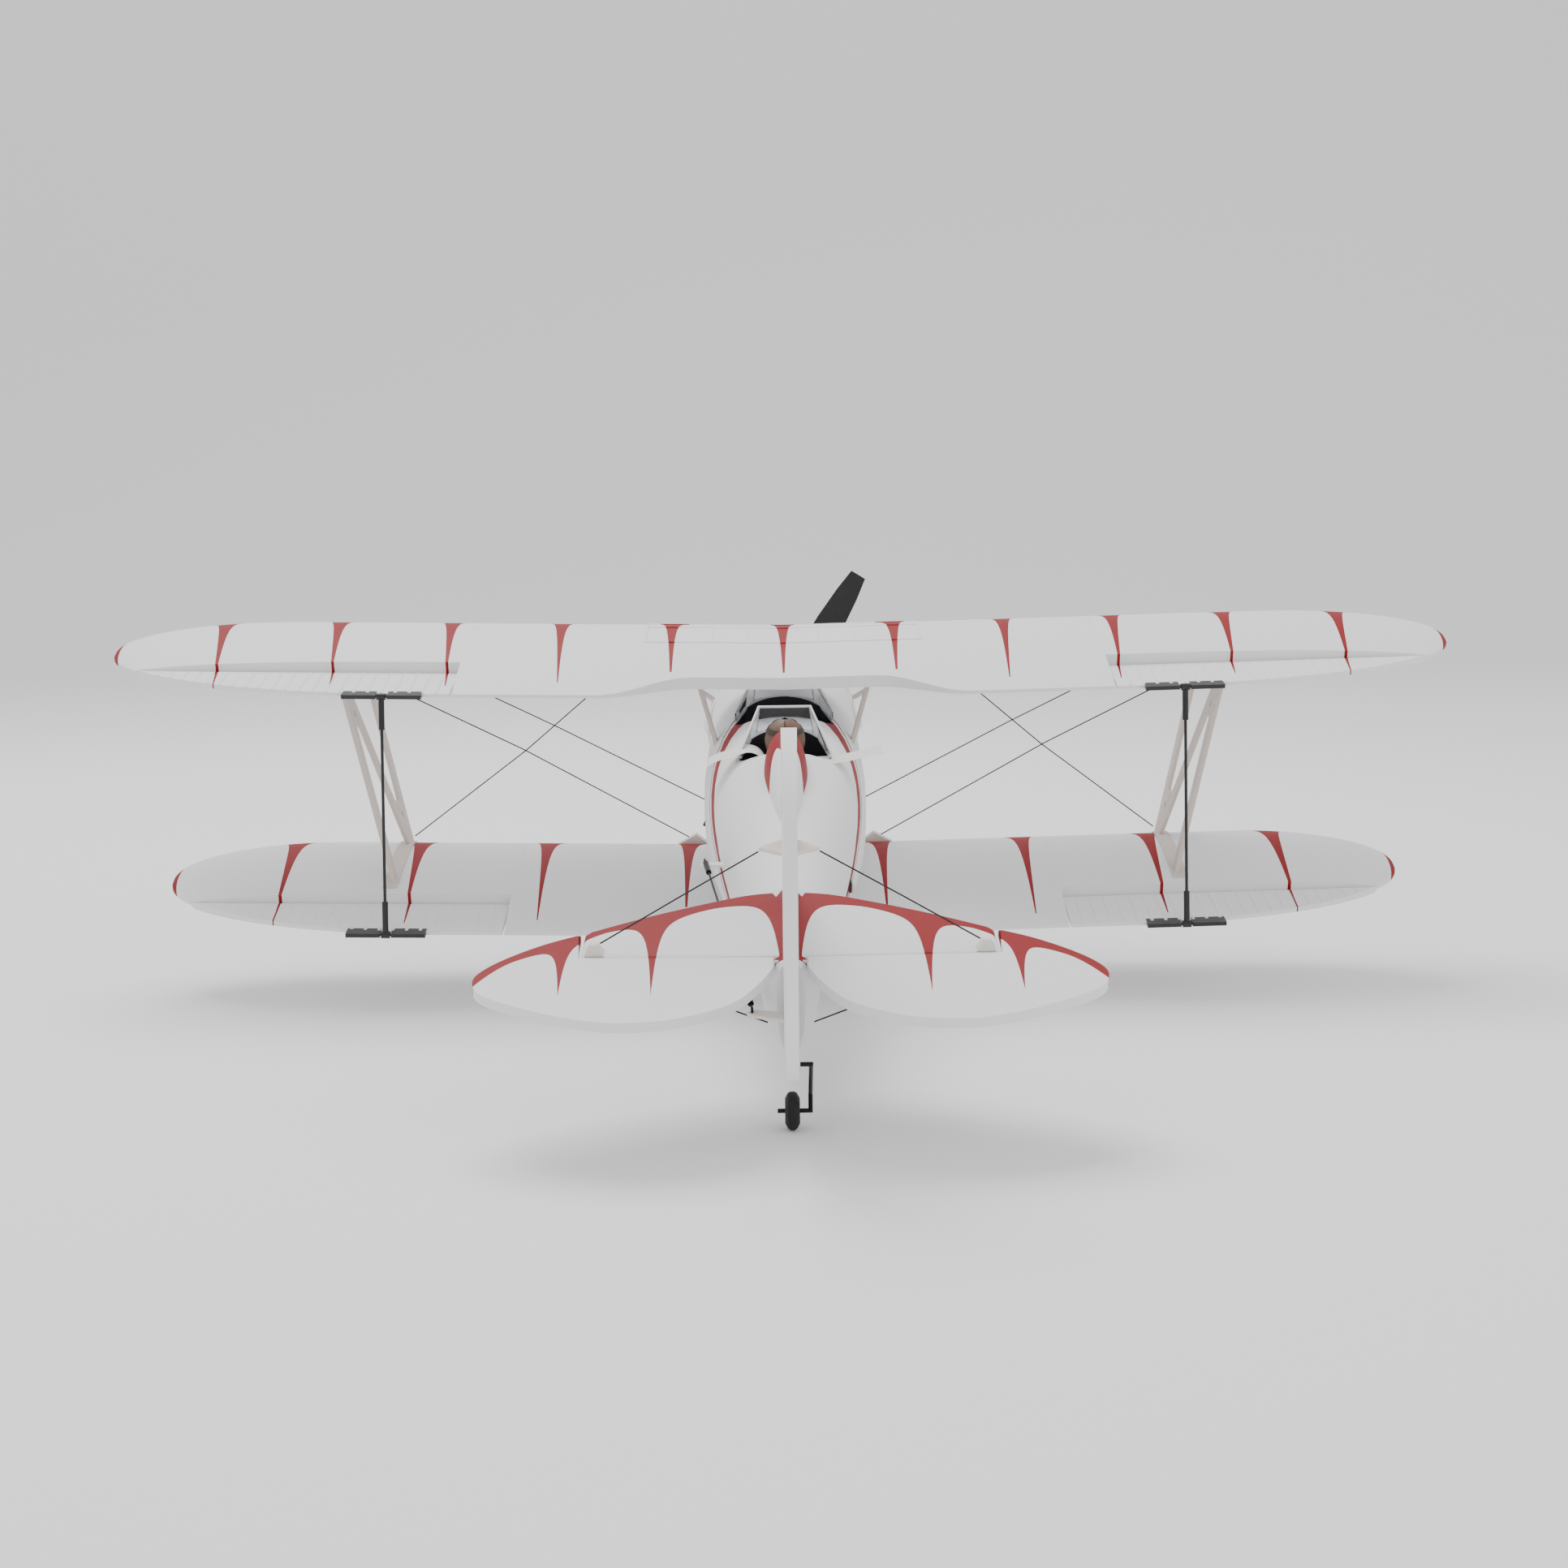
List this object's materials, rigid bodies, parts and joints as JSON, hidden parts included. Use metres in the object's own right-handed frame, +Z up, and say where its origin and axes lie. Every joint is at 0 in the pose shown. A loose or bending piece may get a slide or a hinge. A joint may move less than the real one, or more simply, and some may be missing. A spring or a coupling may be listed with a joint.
{
  "type": "radio-controlled foam biplane",
  "caption": "Radio-controlled foam biplane with coupled ailerons, elevator, steerable rudder and tail wheel, spinning propeller and rolling wheels.",
  "frame": {"origin": "centre of the bounding box's base, on the ground under the aeroplane", "axes": "+X to the right wing tip, +Y to the nose, +Z up, with the aeroplane standing on its three wheels"},
  "size_m": [0.5496, 0.4494, 0.168],
  "materials": {
    "black_plastic": "black moulded plastic",
    "black_wire": "blackened wire with black sleeves",
    "clear_plastic": "clear formed plastic",
    "cowl_plastic": "thin formed plastic, satin",
    "foam_white": "moulded foam, matt, mostly white with red trim",
    "pilot_plastic": "painted figure",
    "plywood": "thin plywood",
    "rigging_line": "thin black line",
    "servo_case": "black servo case",
    "steel": "bright steel",
    "strut_plastic": "translucent warm grey plastic",
    "tyre_foam": "matt black foam rubber",
    "white_nylon": "white nylon"
  },
  "bodies": {
    "airframe": {"aileron_servo_left": "servo_case", "aileron_servo_right": "servo_case", "cabane_strut_left": "strut_plastic", "cabane_strut_right": "strut_plastic", "cowl": "cowl_plastic", "dummy_engine": "black_plastic", "elevator_servo": "servo_case", "fin": "foam_white", "firewall": "plywood", "front_windscreen": "clear_plastic", "fuselage_left": "foam_white", "fuselage_right": "foam_white", "gear_leg_left": "foam_white", "gear_leg_right": "foam_white", "headrest": "foam_white", "interplane_strut_left": "strut_plastic", "interplane_strut_right": "strut_plastic", "lower_wing": "foam_white", "motor": "black_plastic", "pilot": "pilot_plastic", "rear_windscreen": "clear_plastic", "rigging_left": "rigging_line", "rigging_right": "rigging_line", "rudder_servo": "servo_case", "stabiliser": "foam_white", "tail_brace_wires": "rigging_line", "upper_wing": "foam_white", "wheel_pant_left": "cowl_plastic", "wheel_pant_right": "cowl_plastic", "wire_brackets": "white_nylon"},
    "aileron_lower_right_set": {"aileron_lower_right": "foam_white", "aileron_horn_right": "white_nylon"},
    "aileron_upper_right_set": {"aileron_upper_right": "foam_white", "link_bar_upper_right": "black_plastic"},
    "aileron_link_right_set": {"aileron_link_right": "black_wire"},
    "aileron_servo_arm_right_set": {"aileron_servo_arm_right": "white_nylon"},
    "aileron_pushrod_right_set": {"aileron_pushrod_right": "black_wire"},
    "main_wheel_right_set": {"main_wheel_right": "tyre_foam"},
    "aileron_lower_left_set": {"aileron_lower_left": "foam_white", "aileron_horn_left": "white_nylon"},
    "aileron_upper_left_set": {"aileron_upper_left": "foam_white", "link_bar_upper_left": "black_plastic"},
    "aileron_link_left_set": {"aileron_link_left": "black_wire"},
    "aileron_servo_arm_left_set": {"aileron_servo_arm_left": "white_nylon"},
    "aileron_pushrod_left_set": {"aileron_pushrod_left": "black_wire"},
    "main_wheel_left_set": {"main_wheel_left": "tyre_foam"},
    "elevator_set": {"elevator_right": "foam_white", "elevator_left": "foam_white", "elevator_horn": "white_nylon"},
    "elevator_servo_arm_set": {"elevator_servo_arm": "white_nylon"},
    "elevator_pushrod_set": {"elevator_pushrod": "black_wire"},
    "rudder_set": {"rudder": "foam_white", "rudder_horn": "white_nylon", "tail_wheel_wire": "black_wire"},
    "rudder_servo_arm_set": {"rudder_servo_arm": "white_nylon"},
    "rudder_pushrod_set": {"rudder_pushrod": "black_wire"},
    "tail_wheel_set": {"tail_wheel": "tyre_foam"},
    "propeller_set": {"propeller": "black_plastic", "prop_nut": "steel", "prop_shaft": "steel"}
  },
  "joints": [
    {"name": "propeller_spin", "type": "hinge", "parent": "airframe", "child": "propeller_set", "pos_m": [0, 0.21026, 0.10428], "axis": [0, 0.9767, 0.2147], "continuous": true},
    {"name": "aileron_lower_right_hinge", "type": "hinge", "parent": "airframe", "child": "aileron_lower_right_set", "pos_m": [0.15002, 0.04367, 0.03654], "axis": [0.9998, -0.0043, 0.0196], "range_deg": [-20, 20]},
    {"name": "aileron_upper_right_hinge", "type": "hinge", "parent": "airframe", "child": "aileron_upper_right_set", "pos_m": [0.15002, 0.05143, 0.12927], "axis": [0.9998, -0.0043, 0.0196], "range_deg": [-20, 20]},
    {"name": "aileron_link_right_pivot", "type": "hinge", "parent": "aileron_lower_right_set", "child": "aileron_link_right_set", "pos_m": [0.15703, 0.01744, 0.0303], "axis": [0.9998, -0.0043, 0.0196], "range_deg": [-20, 20]},
    {"name": "aileron_servo_right_shaft", "type": "hinge", "parent": "airframe", "child": "aileron_servo_arm_right_set", "pos_m": [0.15347, 0.07565, 0.04589], "axis": [0.9998, -0.0043, 0.0196], "range_deg": [-20, 20]},
    {"name": "aileron_pushrod_right_pivot", "type": "hinge", "parent": "aileron_lower_right_set", "child": "aileron_pushrod_right_set", "pos_m": [0.15368, 0.04537, 0.0288], "axis": [0.9998, -0.0043, 0.0196], "range_deg": [-20, 20]},
    {"name": "main_wheel_right_axle", "type": "hinge", "parent": "airframe", "child": "main_wheel_right_set", "pos_m": [0.058, 0.12179, 0.013], "axis": [1, 0, 0], "continuous": true},
    {"name": "aileron_lower_left_hinge", "type": "hinge", "parent": "airframe", "child": "aileron_lower_left_set", "pos_m": [-0.15002, 0.04367, 0.03654], "axis": [0.9998, 0.0043, -0.0196], "range_deg": [-20, 20]},
    {"name": "aileron_upper_left_hinge", "type": "hinge", "parent": "airframe", "child": "aileron_upper_left_set", "pos_m": [-0.15002, 0.05143, 0.12927], "axis": [0.9998, 0.0043, -0.0196], "range_deg": [-20, 20]},
    {"name": "aileron_link_left_pivot", "type": "hinge", "parent": "aileron_lower_left_set", "child": "aileron_link_left_set", "pos_m": [-0.15703, 0.01744, 0.0303], "axis": [0.9998, 0.0043, -0.0196], "range_deg": [-20, 20]},
    {"name": "aileron_servo_left_shaft", "type": "hinge", "parent": "airframe", "child": "aileron_servo_arm_left_set", "pos_m": [-0.15347, 0.07565, 0.04589], "axis": [0.9998, 0.0043, -0.0196], "range_deg": [-20, 20]},
    {"name": "aileron_pushrod_left_pivot", "type": "hinge", "parent": "aileron_lower_left_set", "child": "aileron_pushrod_left_set", "pos_m": [-0.15368, 0.04537, 0.0288], "axis": [0.9998, 0.0043, -0.0196], "range_deg": [-20, 20]},
    {"name": "main_wheel_left_axle", "type": "hinge", "parent": "airframe", "child": "main_wheel_left_set", "pos_m": [-0.058, 0.12179, 0.013], "axis": [1, 0, 0], "continuous": true},
    {"name": "elevator_hinge", "type": "hinge", "parent": "airframe", "child": "elevator_set", "pos_m": [0, -0.15511, 0.05231], "axis": [1, 0, 0], "range_deg": [-20, 20]},
    {"name": "elevator_servo_shaft", "type": "hinge", "parent": "airframe", "child": "elevator_servo_arm_set", "pos_m": [0.0235, -0.03715, 0.05603], "axis": [1, 0, 0], "range_deg": [-20, 20]},
    {"name": "elevator_pushrod_pivot", "type": "hinge", "parent": "elevator_set", "child": "elevator_pushrod_set", "pos_m": [0.0235, -0.15253, 0.04059], "axis": [1, 0, 0], "range_deg": [-20, 20]},
    {"name": "rudder_hinge", "type": "hinge", "parent": "airframe", "child": "rudder_set", "pos_m": [0, -0.15938, 0.03683], "axis": [0, -0.2147, 0.9767], "range_deg": [-25, 25]},
    {"name": "rudder_servo_shaft", "type": "hinge", "parent": "airframe", "child": "rudder_servo_arm_set", "pos_m": [-0.018, -0.03583, 0.06399], "axis": [0, -0.2147, 0.9767], "range_deg": [-25, 25]},
    {"name": "rudder_pushrod_pivot", "type": "hinge", "parent": "rudder_set", "child": "rudder_pushrod_set", "pos_m": [-0.012, -0.15938, 0.03683], "axis": [0, -0.2147, 0.9767], "range_deg": [-25, 25]},
    {"name": "tail_wheel_axle", "type": "hinge", "parent": "rudder_set", "child": "tail_wheel_set", "pos_m": [0, -0.15617, 0.0059], "axis": [1, 0, 0], "continuous": true}
  ],
  "couplings": [
    {"joint": "aileron_upper_right_hinge", "follows": "aileron_lower_right_hinge", "ratio": 1},
    {"joint": "aileron_link_right_pivot", "follows": "aileron_lower_right_hinge", "ratio": -1},
    {"joint": "aileron_servo_right_shaft", "follows": "aileron_lower_right_hinge", "ratio": 1},
    {"joint": "aileron_pushrod_right_pivot", "follows": "aileron_lower_right_hinge", "ratio": -1},
    {"joint": "aileron_lower_left_hinge", "follows": "aileron_lower_right_hinge", "ratio": -1},
    {"joint": "aileron_upper_left_hinge", "follows": "aileron_lower_right_hinge", "ratio": -1},
    {"joint": "aileron_link_left_pivot", "follows": "aileron_lower_right_hinge", "ratio": 1},
    {"joint": "aileron_servo_left_shaft", "follows": "aileron_lower_right_hinge", "ratio": -1},
    {"joint": "aileron_pushrod_left_pivot", "follows": "aileron_lower_right_hinge", "ratio": 1},
    {"joint": "elevator_servo_shaft", "follows": "elevator_hinge", "ratio": 1},
    {"joint": "elevator_pushrod_pivot", "follows": "elevator_hinge", "ratio": -1},
    {"joint": "rudder_servo_shaft", "follows": "rudder_hinge", "ratio": 1},
    {"joint": "rudder_pushrod_pivot", "follows": "rudder_hinge", "ratio": -1}
  ]
}
